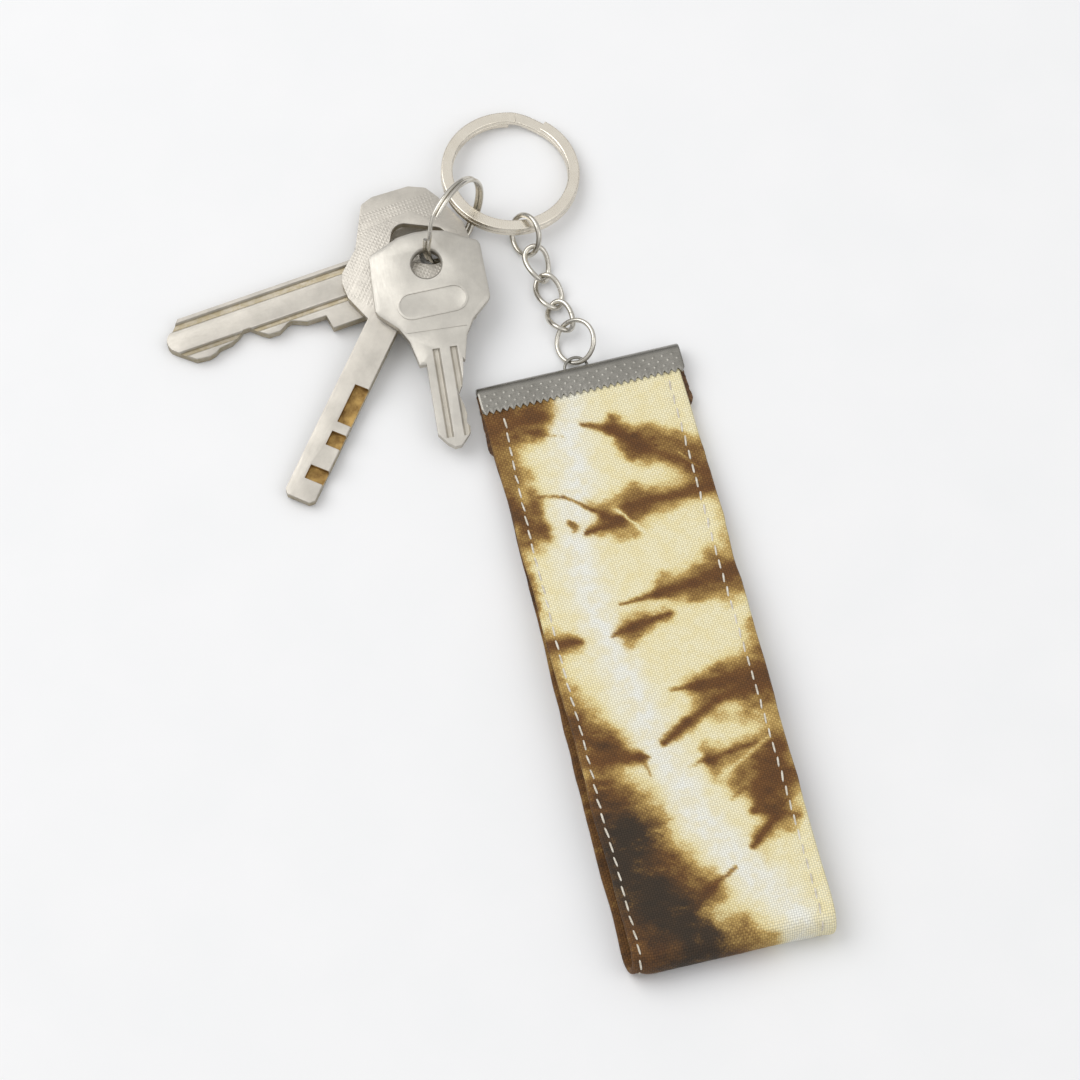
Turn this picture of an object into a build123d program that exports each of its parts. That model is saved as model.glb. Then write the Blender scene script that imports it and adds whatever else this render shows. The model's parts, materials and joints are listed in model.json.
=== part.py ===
from build123d import *
import math
import os

# Wristlet keychain, in millimetres.
# While it is being laid out, x runs across the strap, y runs along it towards the rings, and z is up
# from the table; the clamp's spine is at y = 0. The last step moves everything so that the origin is
# at the middle of the whole object's underside.

# Strap: three laminated layers, folded in half
STRAP_WIDTH = 37.2
COVER = 0.5
INTERFACING = 0.3
LINING = 0.45
PLY = COVER + INTERFACING + LINING
EDGE_WALL = 0.8
FOLD_Y = -118.4
LOOP_GAP = 4.35
FOLD_RADIUS = 2.6
STITCH_LONG = 2.2
STITCH_WIDE = 0.42
STITCH_HIGH = 0.2
STITCH_PITCH = 2.9
STITCH_GAP = 0.01
STITCH_CORNER = 0.12
STITCH_INSET = 2.78
FLAT_ENOUGH = 0.002
TAB_THICK = 0.5
TAB_WIDTH = 38.0
TAB_LONG = 14.0

# Ribbon clamp
CLAMP_WIDTH = 38.0
CLAMP_TALL = 6.2
CLAMP_SHEET = 0.5
CLAMP_THICK = 2 * CLAMP_SHEET + 2 * PLY + TAB_THICK
CLAMP_TEETH = 30
TOOTH_DEEP = 0.8
EYE_RADIUS = 2.12
EYE_BAR = 0.6
EYE_Z = 1.75

# Rings and chain
JUMP_RADIUS = 3.95
JUMP_WIRE = 0.9
TOP_JUMP_RADIUS = 3.75
TOP_JUMP_WIRE = 1.0
LINK_HALF_LONG = 3.43
LINK_HALF_WIDE = 2.16
LINK_TWIST = 0.68
LINK_WIRE = 0.98
SPLIT_OUTER = 12.8
SPLIT_BAND = 2.13
SPLIT_COIL = 1.08
COIL_GAP = 0.04
KEY_RING_RADIUS = 8.4
KEY_RING_WIRE = 0.8

# Keys
HOUSE_THICK = 2.1
HOUSE_HOLE = 3.2
SLOT_THICK = 2.0
POCKET_DEEP = 1.2
CABINET_THICK = 2.0
CABINET_HOLE = 2.75
NECK_STEP = 0.12
GROOVE_DEEP = 0.55
GROOVE_SLOPE = 0.35

# Where each ring and link lies: centre, then yaw, pitch and roll in degrees. Yaw turns about z, pitch
# lifts the end nearer the split ring, and roll lifts the right-hand side.
LAY = {
    "bottom_jump_ring": ((1.01, 4.74, 2.8), (-0.8, 9.8, 35.1)),
    "chain_link_3": ((-0.35, 10.7, 1.92), (6.0, -13.4, -0.3)),
    "chain_link_2": ((-1.04, 16.25, 1.4), (10.0, 4.0, -0.2)),
    "chain_link_1": ((-1.73, 21.77, 2.5), (6.9, 16.4, -20.8)),
    "top_jump_ring": ((-2.64, 27.5, 3.7), (7.6, 9.1, 57.1)),
    "split_ring": ((-2.19, 40.83, 2.78), (1.5, -4.8, -4.9)),
    "key_ring": ((-15.36, 31.25, 8.8), (-61.5, 124.3, 74.0)),
}

# Where each key lies: its hole's centre on the underside, then yaw and tip-down tilt in degrees
KEY_LAY = {
    "house_key": ((-19.3, 27.8, 1.25), (186.2, 1.3)),
    "slot_key": ((-22.0, 29.0, 4.3), (231.6, 4.2)),
    "cabinet_key": ((-22.2, 24.15, 6.95), (265.0, 7.0)),
}


def placed(name, shape):
    """The shape turned and moved to where its node lies."""
    centre, (yaw, pitch, roll) = LAY[name]
    turn = Rot(0, 0, yaw) * Rot(pitch, 0, 0) * Rot(0, -roll, 0)
    return Pos(*centre) * turn * shape


# ---------------------------------------------------------------- strap
def strap_corners():
    """The middle line of the strap's ply in the (y, z) plane, from the clamp round and back to it."""
    low = STITCH_HIGH + STITCH_GAP + PLY / 2
    high = low + PLY + LOOP_GAP
    clamp_low = CLAMP_SHEET + PLY / 2
    clamp_high = CLAMP_THICK - clamp_low
    inside = -CLAMP_THICK / 2 - 0.05
    mouth = -CLAMP_TALL - 0.6
    end = FOLD_Y + PLY / 2
    upper = [(inside, clamp_high), (mouth, clamp_high), (-26, clamp_high + 0.9), (-62, high)]
    lower = [(-12, low), (mouth, clamp_low), (inside, clamp_low)]
    return upper + [(end, high), (end, low)] + lower


CORNER_RADII = [14, 60, 60, FOLD_RADIUS, FOLD_RADIUS, 12, 12]


def offset_line(distance):
    """The strap's middle line moved outwards, away from the loop, by distance."""
    corners = [Vector(*c) for c in strap_corners()]
    runs = [(b - a).normalized() for a, b in zip(corners, corners[1:])]
    out = [Vector(r.Y, -r.X) for r in runs]
    moved = [corners[0] + out[0] * distance]
    radii = []
    for i in range(1, len(corners) - 1):
        before, after = out[i - 1], out[i]
        moved.append(corners[i] + (before + after) * (distance / (1 + before.dot(after))))
        left_turn = runs[i - 1].cross(runs[i]).Z > 0
        radii.append(CORNER_RADII[i - 1] + (distance if left_turn else -distance))
    moved.append(corners[-1] + out[-1] * distance)
    return FilletPolyline(*[(p.X, p.Y) for p in moved], radius=radii)


def ply_face(inner, outer):
    """The closed outline between two offsets of the strap's line."""
    a = offset_line(inner)
    b = offset_line(outer)
    ends = [Line(a @ 0, b @ 0), Line(a @ 1, b @ 1)]
    return make_face([*a.edges(), *b.edges(), *ends])


def across(face, width, centre_x=0.0):
    """A face drawn in (y, z) pulled out to a width across x."""
    solid = extrude(Plane.YZ * face, width / 2, both=True)
    return Pos(centre_x, 0, 0) * solid


def strap_cover():
    """Outer canvas: the outside face and the two turned-under edges."""
    cover = across(ply_face(PLY / 2 - COVER, PLY / 2), STRAP_WIDTH)
    wall_x = (STRAP_WIDTH - EDGE_WALL) / 2
    wall = ply_face(-PLY / 2, PLY / 2)
    for side in (-1, 1):
        cover += across(wall, EDGE_WALL, side * wall_x)
    return cover


def strap_interfacing():
    return across(ply_face(-PLY / 2 + LINING, PLY / 2 - COVER), STRAP_WIDTH - 2 * EDGE_WALL)


def strap_lining():
    return across(ply_face(-PLY / 2, -PLY / 2 + LINING), STRAP_WIDTH - 2 * EDGE_WALL)


def end_tab():
    """Raw end of fabric between the two plies at the clamp, with rounded outer corners."""
    sketch = Pos(0, -0.9 - TAB_LONG / 2) * Rectangle(TAB_WIDTH, TAB_LONG)
    lower_corners = sketch.vertices().sort_by(Axis.Y)[:2]
    sketch = fillet(lower_corners, 3)
    return Pos(0, 0, CLAMP_SHEET + PLY) * extrude(sketch, TAB_THICK)


def stitching(side):
    """One row of topstitches, on the upper face, round the fold and back along the underside."""
    line = offset_line(PLY / 2 + STITCH_GAP)
    x = side * (STRAP_WIDTH / 2 - STITCH_INSET)
    skip = CLAMP_TALL + 1.2
    count = int((line.length - 2 * skip) / STITCH_PITCH)
    stitch = Pos(0, 0, STITCH_HIGH / 2) * Box(STITCH_WIDE, STITCH_LONG, STITCH_HIGH)
    stitch = chamfer(stitch.edges().filter_by(Axis.Z), STITCH_CORNER)
    stitches = []
    for i in range(count):
        middle = skip + (i + 0.5) * STITCH_PITCH
        low = line @ ((middle - STITCH_LONG / 2) / line.length)
        high = line @ ((middle + STITCH_LONG / 2) / line.length)
        centre = line @ (middle / line.length)
        along = (high - low).normalized()
        outward = Vector(along.Y, -along.X)
        if abs((centre - low).dot(outward)) > FLAT_ENOUGH:
            continue
        plane = Plane(
            origin=(x, centre.X, centre.Y),
            x_dir=(1, 0, 0),
            z_dir=(0, outward.X, outward.Y),
        )
        stitches.append(plane * stitch)
    return Compound(children=stitches)


# ---------------------------------------------------------------- clamp
def clamp():
    """Folded sheet with a round spine, zigzag teeth on both free edges, and a D-shaped eye."""
    half = CLAMP_THICK / 2
    inner_thick = CLAMP_THICK - 2 * CLAMP_SHEET
    inner = Pos(-CLAMP_TALL, half) * SlotOverall(CLAMP_TALL * 2 - 2 * CLAMP_SHEET, inner_thick)
    outer = Pos(-CLAMP_TALL, half) * SlotOverall(CLAMP_TALL * 2, CLAMP_THICK)
    keep = Pos(-CLAMP_TALL / 2, half) * Rectangle(CLAMP_TALL, CLAMP_THICK)
    profile = (outer - inner) & keep
    body = across(profile, CLAMP_WIDTH)
    pitch = CLAMP_WIDTH / CLAMP_TEETH
    points = [(-CLAMP_WIDTH / 2, -CLAMP_TALL - 1)]
    for i in range(CLAMP_TEETH):
        x = -CLAMP_WIDTH / 2 + i * pitch
        points.append((x, -CLAMP_TALL + TOOTH_DEEP))
        points.append((x + pitch / 2, -CLAMP_TALL))
    points.append((CLAMP_WIDTH / 2, -CLAMP_TALL + TOOTH_DEEP))
    points.append((CLAMP_WIDTH / 2, -CLAMP_TALL - 1))
    notches = make_face(Polyline(*points, close=True).edges())
    body -= extrude(notches, CLAMP_THICK)
    return body + clamp_eye()


def clamp_eye():
    """Half-round wire eye with its two ends let into the spine."""
    root = -0.45
    right = Line((EYE_RADIUS, root), (EYE_RADIUS, 0))
    left = Line((-EYE_RADIUS, 0), (-EYE_RADIUS, root))
    path = right + CenterArc((0, 0), EYE_RADIUS, 0, 180) + left
    section = Plane(origin=path @ 0, z_dir=path % 0) * Circle(EYE_BAR / 2)
    return Pos(0, 0, EYE_Z) * sweep(section, path)


# ---------------------------------------------------------------- rings and chain
def round_ring(radius, wire, slit=1.2):
    """A jump ring: round wire bent to a circle, with a hairline slit where its ends meet."""
    section = Plane.XZ * Pos(radius, 0) * Circle(wire / 2)
    return Rot(0, 0, 100) * revolve(section, Axis.Z, 360 - slit)


def curb_link():
    """One twisted oval link of a curb chain, with a hairline slit in one long side."""
    count = 24
    slit = 0.012
    points = []
    for i in range(count + 1):
        t = slit + (2 * math.pi - 2 * slit) * i / count
        x = LINK_HALF_WIDE * math.cos(t)
        y = LINK_HALF_LONG * math.sin(t)
        points.append((x, y, LINK_TWIST * math.sin(2 * t)))
    path = Spline(*points)
    section = Plane(origin=path @ 0, z_dir=path % 0) * Circle(LINK_WIRE / 2)
    return sweep(section, path)


def polar(radius, degrees, z=0.0):
    angle = math.radians(degrees)
    return (radius * math.cos(angle), radius * math.sin(angle), z)


def two_coils(radius, level, section, start, stop):
    """Two turns of one wire, one above the other, joined by a crossing from start to stop degrees."""
    coils = []
    for z in (-level, level):
        face = Plane.XZ * Pos(radius, z) * section
        coils.append(Rot(0, 0, stop) * revolve(face, Axis.Z, 360 - (stop - start)))
    steps = 6
    points = []
    for i in range(steps + 1):
        u = i / steps
        rise = u * u * (3 - 2 * u)
        points.append(polar(radius, start + (stop - start) * u, level * (2 * rise - 1)))
    path = Spline(*points, tangents=[polar(1, start + 90), polar(1, stop + 90)])
    plane = Plane(origin=path @ 0, x_dir=polar(1, start), z_dir=path % 0)
    return coils[0] + coils[1] + sweep(plane * section, path)


def split_ring():
    radius = SPLIT_OUTER - SPLIT_BAND / 2
    section = RectangleRounded(SPLIT_BAND, SPLIT_COIL, 0.25)
    return two_coils(radius, (SPLIT_COIL + COIL_GAP) / 2, section, 44, 76)


def key_ring():
    section = Circle(KEY_RING_WIRE / 2)
    return two_coils(KEY_RING_RADIUS, (KEY_RING_WIRE + COIL_GAP) / 2, section, 60, 95)


# ---------------------------------------------------------------- keys
# Each key is drawn flat with its ring hole near the origin, its blade along +x and its cuts on +y.
def outline(points, corner=0.0):
    """A face from straight-sided points, its corners rounded."""
    face = make_face(Polyline(*points, close=True).edges())
    if corner:
        face = fillet(face.vertices(), corner)
    return face


def mirrored(points):
    """The points of a half outline with y >= 0, followed by their mirror image."""
    return points + [(x, -y) for x, y in reversed(points)]


def groove(start, stop, low, high, top):
    """A long cutter with sloping walls: from start to stop along the key, low to high across it."""
    foot = top - GROOVE_DEEP
    corners = [(low, top), (high, top), (high - GROOVE_SLOPE, foot), (low + GROOVE_SLOPE, foot)]
    section = Plane.YZ * make_face(Polyline(*corners, close=True).edges())
    return Pos(start, 0, 0) * extrude(section, stop - start)


def house_key():
    """Large flat head; blade with long grooves on both faces and a row of V-shaped cuts."""
    head = outline(mirrored([
        (-6.8, 4.6), (-4.2, 11.0), (-2.7, 13.6), (0.2, 15.0), (7.2, 15.3), (9.6, 14.5), (13.4, 6.8),
    ]), 1.2)
    back, throat = -4.76, 2.2
    blade = outline([
        (10.0, back), (48.9, back), (50.4, -3.0), (51.6, -2.2), (52.2, -1.3), (52.2, -0.3), (51.9, 0.6),
        (50.7, 1.8), (48.2, 4.0), (45.8, 4.3), (44.5, 4.0), (43.5, 3.4), (41.0, 3.1), (39.2, 2.2),
        (38.3, 1.5), (37.0, 1.5), (35.4, 3.1), (34.2, 4.0), (32.1, 4.1), (30.3, 3.1), (29.5, 2.9),
        (28.0, 3.5), (26.8, 4.1), (23.1, 4.2), (22.7, 7.0), (10.0, 7.0),
    ])
    web = Pos(14.7, back - throat / 2 + 0.5) * Rectangle(throat, throat + 1)
    web -= Pos(14.7 + throat / 2, back - throat) * Circle(throat)
    key = extrude(head, HOUSE_THICK) + extrude(blade, HOUSE_THICK) + extrude(web, HOUSE_THICK)
    key -= Cylinder(HOUSE_HOLE, 3 * HOUSE_THICK)
    key -= groove(15.0, 54.0, -4.1, -2.5, HOUSE_THICK)
    key -= groove(15.0, 54.0, 1.65, 2.95, HOUSE_THICK)
    key -= Rot(180, 0, 0) * groove(15.0, 54.0, 0.2, 1.8, 0)
    return key


def slot_key():
    """Flat blade with three square pockets milled into one side; wide rounded slot in the head."""
    head = mirrored([(-5.6, 4.6), (1.0, 10.6), (10.6, 11.0), (12.4, 10.2), (14.6, 8.0), (16.8, 3.1)])
    key = extrude(outline(head, 1.0), SLOT_THICK)
    edge = 2.95
    blade = mirrored([(14.0, edge), (53.0, edge), (53.8, 2.2)])
    key += extrude(outline(blade), SLOT_THICK)
    slot = Pos(-0.2, -0.6) * Rot(0, 0, 17) * RectangleRounded(7.4, 10.4, 2.4)
    key -= extrude(slot, SLOT_THICK)
    for start, stop, inner in ((29.5, 37.4, 0.3), (39.4, 42.3, 0.2), (46.9, 49.7, -0.6)):
        pocket = Pos((start + stop) / 2, (inner + edge + 1) / 2) * Rectangle(stop - start, edge + 1 - inner)
        key -= Pos(0, 0, SLOT_THICK - POCKET_DEEP) * extrude(pocket, SLOT_THICK)
    return key


def cabinet_key():
    """Bevelled head with a round hole and a raised oval rim; short grooved blade."""
    head = [
        (-6.4, 1.6), (-5.9, 4.4), (-3.2, 9.9), (-2.4, 10.3), (7.6, 10.6), (8.5, 10.1), (11.5, 6.9),
        (14.3, 5.3), (17.8, 4.5), (19.1, 4.2),
    ]
    key = extrude(outline(mirrored(head)), CABINET_THICK)
    top_edges = key.faces().sort_by(Axis.Z)[-1].edges()
    key = chamfer(top_edges, 0.4, 0.7)
    blade = [
        (18.0, -2.9), (32.6, -2.9), (34.6, -1.3), (35.4, -0.2), (35.3, 1.0), (33.8, 2.4), (32.9, 3.0),
        (32.0, 3.1), (30.9, 2.6), (29.6, 2.9), (27.8, 2.7), (26.4, 2.3), (25.4, 2.0), (23.8, 2.9),
        (21.7, 3.4), (19.8, 3.7), (18.0, 3.7),
    ]
    key += extrude(outline(blade), CABINET_THICK)
    key -= Pos(12.8 + 15, 0, CABINET_THICK) * Box(30, 20, 2 * NECK_STEP)
    key -= Cylinder(CABINET_HOLE, 3 * CABINET_THICK)
    countersink = Cone(CABINET_HOLE, CABINET_HOLE + 0.6, 0.6)
    key -= Pos(0, 0, CABINET_THICK) * countersink
    rim = RectangleRounded(5.4, 13.2, 2.65) - RectangleRounded(4.4, 12.2, 2.15)
    key += Pos(7.4, 0, CABINET_THICK) * Rot(0, 0, 4) * extrude(rim, 0.22)
    for low, high in ((-1.5, -0.1), (1.7, 3.1)):
        key -= groove(16.4, 33.6, low, high, CABINET_THICK - NECK_STEP)
    return key


def placed_key(name, shape):
    centre, (yaw, tilt) = KEY_LAY[name]
    return Pos(*centre) * Rot(0, 0, yaw) * Rot(0, tilt, 0) * shape


PARTS = {
    "strap_cover": strap_cover(),
    "strap_interfacing": strap_interfacing(),
    "strap_lining": strap_lining(),
    "end_tab": end_tab(),
    "stitching_left": stitching(-1),
    "stitching_right": stitching(1),
    "clamp": clamp(),
    "bottom_jump_ring": placed("bottom_jump_ring", round_ring(JUMP_RADIUS, JUMP_WIRE)),
    "chain_link_3": placed("chain_link_3", curb_link()),
    "chain_link_2": placed("chain_link_2", curb_link()),
    "chain_link_1": placed("chain_link_1", curb_link()),
    "top_jump_ring": placed("top_jump_ring", round_ring(TOP_JUMP_RADIUS, TOP_JUMP_WIRE)),
    "split_ring": placed("split_ring", split_ring()),
    "key_ring": placed("key_ring", key_ring()),
    "house_key": placed_key("house_key", house_key()),
    "slot_key": placed_key("slot_key", slot_key()),
    "cabinet_key": placed_key("cabinet_key", cabinet_key()),
}

# The origin goes to the middle of the whole object's underside.
whole = PARTS["clamp"].bounding_box()
for shape in PARTS.values():
    whole = whole.add(shape.bounding_box())
SHIFT = (-whole.center().X, -whole.center().Y, -whole.min.Z)

os.makedirs("parts", exist_ok=True)
for name, shape in PARTS.items():
    export_step(shape.moved(Pos(*SHIFT)), f"parts/{name}.step")
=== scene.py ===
import bpy
import bmesh
import json
import math
import numpy as np
from mathutils import Matrix, Vector


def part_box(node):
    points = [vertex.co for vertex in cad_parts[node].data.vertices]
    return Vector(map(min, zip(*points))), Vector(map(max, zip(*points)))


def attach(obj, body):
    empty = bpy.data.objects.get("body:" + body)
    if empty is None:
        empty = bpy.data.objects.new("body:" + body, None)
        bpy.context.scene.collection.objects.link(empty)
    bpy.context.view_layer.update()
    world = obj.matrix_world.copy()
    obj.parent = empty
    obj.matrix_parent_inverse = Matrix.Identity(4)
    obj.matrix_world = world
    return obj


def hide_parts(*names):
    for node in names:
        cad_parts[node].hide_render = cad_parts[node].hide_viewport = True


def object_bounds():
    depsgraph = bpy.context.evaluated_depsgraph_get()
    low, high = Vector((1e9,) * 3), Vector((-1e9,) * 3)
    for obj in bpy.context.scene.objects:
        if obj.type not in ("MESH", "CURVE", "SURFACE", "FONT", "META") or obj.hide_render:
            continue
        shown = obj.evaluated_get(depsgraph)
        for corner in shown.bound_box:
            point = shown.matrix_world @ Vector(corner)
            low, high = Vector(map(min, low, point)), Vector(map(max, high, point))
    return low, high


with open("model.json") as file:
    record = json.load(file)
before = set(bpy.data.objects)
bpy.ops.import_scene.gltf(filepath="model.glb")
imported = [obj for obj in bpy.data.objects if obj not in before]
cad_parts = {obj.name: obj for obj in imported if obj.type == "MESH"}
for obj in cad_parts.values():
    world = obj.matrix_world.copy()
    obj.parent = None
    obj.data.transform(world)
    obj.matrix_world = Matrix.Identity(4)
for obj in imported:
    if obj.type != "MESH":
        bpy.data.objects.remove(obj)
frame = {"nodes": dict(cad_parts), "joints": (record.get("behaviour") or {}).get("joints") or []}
cad_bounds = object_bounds()

# Lengths below are millimetres in the layout frame: x across the strap, y along it towards the
# rings, z up, with the clamp's spine at y = 0. The clamp's box gives where that frame lies, as its
# wire eye ends EYE_TIP beyond the spine.
MM = 0.001
EYE_TIP = 2.42
clamp_low, clamp_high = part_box("clamp")
LAYOUT_ORIGIN = Vector(((clamp_low.x + clamp_high.x) / 2, clamp_high.y - EYE_TIP * MM, clamp_low.z))

# Strap: a ply is the cover, the stiffener and the lining together. The plies start a little below
# the spine, inside the clamp, and the loop's middle line runs between the low and the high heights.
STRAP_WIDTH = 37.2
PLY = 1.25
COVER = 0.5
LINING = 0.45
LAYER_GAP = 0.01
TURN_UNDER = 3.5
EDGE_BEAD = 0.7
CLOTH_STEP = 0.42
STRAP_START = 2.1
STRAP_TOP_LENGTH = 116.0
LOOP_LOW = 0.85
LOOP_HIGH = 6.42
MOUTH_LOW = 1.125
MOUTH_HIGH = 2.875
FOLD_REACH = 2.4

# Stitches
STITCH_START = 6.9
STITCH_PITCH = 2.9
STITCH_LONG = 2.25
STITCH_WIDE = 0.38
STITCH_HIGH = 0.72 * STITCH_WIDE

# Raw end of the fabric in the clamp
TAB_HALF_WIDTH = 18.9
TAB_HALF_THICK = 0.22
TAB_HEIGHT = 2.0

# Clamp
CLAMP_WIDTH = 38.0
CLAMP_TALL = 6.2
CLAMP_THICK = 4.0
CLAMP_SHEET = 0.5
CLAMP_TEETH = 30
TOOTH_DEEP = 0.8
DOT_PITCH = (1.75, 0.98)
DOT_HIGH = 0.085
DOT_WIDE = 0.17
EYE_RADIUS = 2.12
EYE_BAR = 0.28
EYE_HEIGHT = 1.75

# Camera: where it looks in the layout frame, from which direction in degrees, and, in metres, from
# how far and how much it sees across
VIEW_CENTRE = (-14.68, -30.98, 0.0)
VIEW_ELEVATION = 66
VIEW_AZIMUTH = -14.2
VIEW_DISTANCE = 1.706
VIEW_WIDTH = 0.196
SENSOR = 36.0


def to_world(points):
    """Layout-frame millimetres to scene metres."""
    return np.asarray(points, float) * MM + np.array(LAYOUT_ORIGIN)


def smoothstep(t):
    t = np.clip(t, 0, 1)
    return t * t * (3 - 2 * t)


def bump(distance, width):
    """A bell of height 1 at distance 0."""
    return np.exp(-((distance / width) ** 2))


def value_noise(x, y, seed):
    """Smooth noise from 0 to 1 on a unit grid, the same on every run."""
    xi, yi = np.floor(x), np.floor(y)
    fx, fy = smoothstep(x - xi), smoothstep(y - yi)

    def corner(dx, dy):
        h = np.sin((xi + dx) * 127.1 + (yi + dy) * 311.7 + seed * 74.7) * 43758.5453
        return h - np.floor(h)

    low = corner(0, 0) * (1 - fx) + corner(1, 0) * fx
    high = corner(0, 1) * (1 - fx) + corner(1, 1) * fx
    return low * (1 - fy) + high * fy


def fractal(x, y, seed, octaves=4):
    total, weight = 0.0, 0.0
    for i in range(octaves):
        total = total + value_noise(x * 2**i, y * 2**i, seed + i) * 0.5**i
        weight += 0.5**i
    return total / weight


# ------------------------------------------------------------------ mesh helpers
def make_object(name, vertices, faces, material, body, smooth_angle=40):
    """A smooth-shaded piece on a body, with its faces turned outwards."""
    mesh = bpy.data.meshes.new(name)
    mesh.from_pydata([tuple(v) for v in vertices], [], [tuple(f) for f in faces])
    mesh.update()
    work = bmesh.new()
    work.from_mesh(mesh)
    bmesh.ops.recalc_face_normals(work, faces=work.faces)
    work.to_mesh(mesh)
    work.free()
    return add_piece(name, mesh, material, body, smooth_angle)


def add_piece(name, mesh, material, body, smooth_angle):
    """A mesh in the scene, smooth up to an angle between its faces, that rides on a body."""
    mesh.shade_smooth()
    mesh.set_sharp_from_angle(angle=math.radians(smooth_angle))
    mesh.materials.append(material)
    piece = bpy.data.objects.new(name, mesh)
    bpy.context.scene.collection.objects.link(piece)
    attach(piece, body)
    return piece


def tube_faces(rings, points, first=0):
    """Quads between neighbouring rings of points. The ends are left open."""
    faces = []
    for i in range(rings - 1):
        a, b = first + i * points, first + (i + 1) * points
        for j in range(points):
            k = (j + 1) % points
            faces.append((a + j, a + k, b + k, b + j))
    return faces


def closed_tube_faces(rings, points, first):
    """A tube's quads and the flat faces over its two ends."""
    start = tuple(range(first, first + points))
    end = tuple(v + (rings - 1) * points for v in start)
    return tube_faces(rings, points, first) + [start[::-1], end]


def cap_faces(points, half, start):
    """Closes the end of a flat band whose ring goes out along half its points and back."""
    faces = []
    for j in range(half - 1):
        far = points - 1 - j
        faces.append((start + j, start + j + 1, start + far - 1, start + far))
    return faces


def grid_shell_faces(rows, columns):
    """Faces of a closed shell made of two grids, one above the other."""
    faces = []
    under = rows * columns
    for i in range(rows - 1):
        for j in range(columns - 1):
            a, d = i * columns + j, (i + 1) * columns + j
            faces.append((a, a + 1, d + 1, d))
            faces.append((under + d, under + d + 1, under + a + 1, under + a))
    last = (rows - 1) * columns
    for j in range(columns - 1):
        faces.append((j + 1, j, under + j, under + j + 1))
        k = last + j
        faces.append((k, k + 1, under + k + 1, under + k))
    for k in range(0, last, columns):
        right = k + columns - 1
        faces.append((k, k + columns, under + k + columns, under + k))
        faces.append((right + columns, right, under + right, under + right + columns))
    return faces


def store(mesh, name, values, kind="FLOAT"):
    """Keeps a number for each vertex, or three with FLOAT_VECTOR."""
    attribute = mesh.attributes.new(name, kind, "POINT")
    field = "value" if kind == "FLOAT" else "vector"
    attribute.data.foreach_set(field, np.asarray(values, np.float32).ravel())


# ------------------------------------------------------------------ node helpers
class Nodes:
    """A material being built, with a short call for each kind of node."""

    def __init__(self, name):
        self.material = bpy.data.materials.new(name)
        self.material.use_nodes = True
        self.tree = self.material.node_tree
        self.shader = self.tree.nodes["Principled BSDF"]

    def add(self, kind, inputs=None, **settings):
        node = self.tree.nodes.new(kind)
        for key, value in settings.items():
            setattr(node, key, value)
        for key, value in (inputs or {}).items():
            self.feed(node.inputs[key], value)
        return node

    def feed(self, socket, value):
        if isinstance(value, bpy.types.NodeSocket):
            self.tree.links.new(value, socket)
        else:
            socket.default_value = value

    def math(self, operation, a, b=0.0, clamp=False):
        node = self.add("ShaderNodeMath", {0: a, 1: b}, operation=operation, use_clamp=clamp)
        return node.outputs[0]

    def range(self, value, low, high, to_low=0.0, to_high=1.0, smooth=True):
        kind = "SMOOTHSTEP" if smooth else "LINEAR"
        inputs = {"Value": value, "From Min": low, "From Max": high, "To Min": to_low, "To Max": to_high}
        return self.add("ShaderNodeMapRange", inputs, interpolation_type=kind).outputs["Result"]

    def attribute(self, name, output="Fac"):
        return self.add("ShaderNodeAttribute", attribute_name=name).outputs[output]

    def place(self):
        """Where the point is on the piece, in millimetres."""
        coordinate = self.add("ShaderNodeTexCoord").outputs["Object"]
        scale = self.add("ShaderNodeVectorMath", {0: coordinate}, operation="SCALE")
        scale.inputs["Scale"].default_value = 1000.0
        return scale.outputs[0]

    def split(self, vector):
        return self.add("ShaderNodeSeparateXYZ", {0: vector}).outputs

    def noise(self, vector, scale, detail=2.0, roughness=0.5, distortion=0.0):
        inputs = {"Vector": vector, "Scale": scale, "Detail": detail, "Roughness": roughness}
        node = self.add("ShaderNodeTexNoise", {**inputs, "Distortion": distortion})
        return node.outputs["Fac"]

    def stretched(self, vector, scale):
        inputs = {"Vector": vector, "Scale": scale}
        return self.add("ShaderNodeMapping", inputs).outputs["Vector"]

    def ramp(self, value, stops):
        node = self.add("ShaderNodeValToRGB", {"Fac": value})
        elements = node.color_ramp.elements
        while len(elements) < len(stops):
            elements.new(0.5)
        for element, (position, colour) in zip(elements, stops):
            element.position = position
            element.color = (*colour, 1.0)
        return node.outputs["Color"]

    def mix(self, factor, a, b, blend="MIX"):
        node = self.add("ShaderNodeMix", data_type="RGBA", blend_type=blend)
        for socket, value in ((node.inputs[0], factor), (node.inputs[6], a), (node.inputs[7], b)):
            if isinstance(value, tuple):
                value = (*value, 1.0)
            self.feed(socket, value)
        return node.outputs[2]

    def relief(self, height, distance_mm, strength=1.0):
        inputs = {"Height": height, "Distance": distance_mm * MM, "Strength": strength}
        normal = self.add("ShaderNodeBump", inputs).outputs["Normal"]
        self.feed(self.shader.inputs["Normal"], normal)

    def set(self, **values):
        for key, value in values.items():
            socket = self.shader.inputs[key.replace("_", " ")]
            if isinstance(value, tuple):
                value = (*value, 1.0)
            self.feed(socket, value)


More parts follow.
